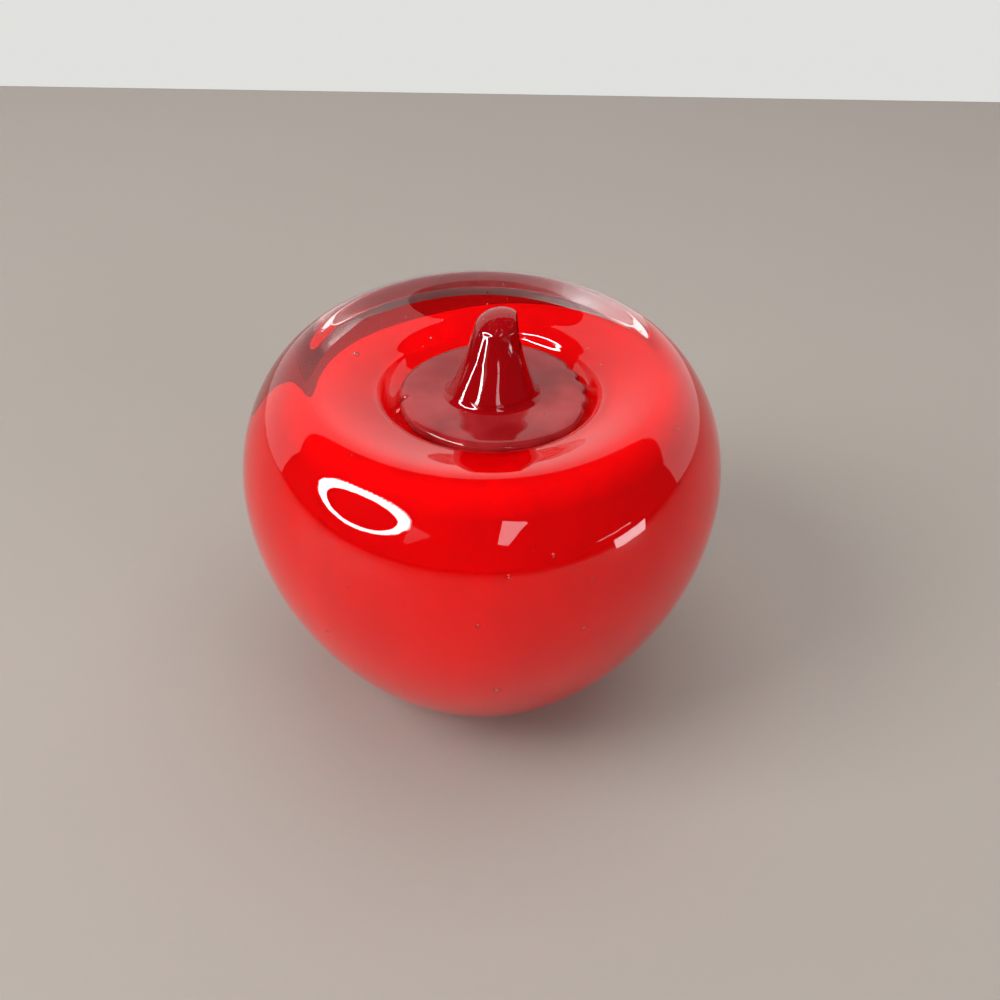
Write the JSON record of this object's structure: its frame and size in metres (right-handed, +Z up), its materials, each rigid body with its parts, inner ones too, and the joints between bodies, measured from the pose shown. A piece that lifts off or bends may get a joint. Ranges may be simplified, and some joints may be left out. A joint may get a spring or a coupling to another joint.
{
  "type": "art glass apple",
  "caption": "Solid art glass apple: red glass core cased in thick clear glass, pressed dimple holding a dark ruby pad and a pulled stem, flat ground base to stand on.",
  "frame": {"origin": "middle of the flat ground base, on the surface it stands on", "axes": "+Z up through the apple towards the stem; -Y towards the viewer of the picture; +X to the viewer's right, the side the stem leans to"},
  "size_m": [0.08, 0.08, 0.0689],
  "materials": {
    "clear_glass": "fire-polished clear soda-lime glass with a few seed bubbles; base ground and polished",
    "red_glass": "dense bright red colour glass, seen only through the clear casing",
    "heart_glass": "clear glass, sealed inside the red coat and not visible",
    "ruby_glass": "deep transparent ruby glass, fire-polished, with tool marks at the stem's tip"
  },
  "bodies": {
    "root": {"clear_casing": "clear_glass", "red_coat": "red_glass", "heart_gather": "heart_glass", "dimple_pad": "ruby_glass", "pulled_stem": "ruby_glass"}
  },
  "joints": []
}
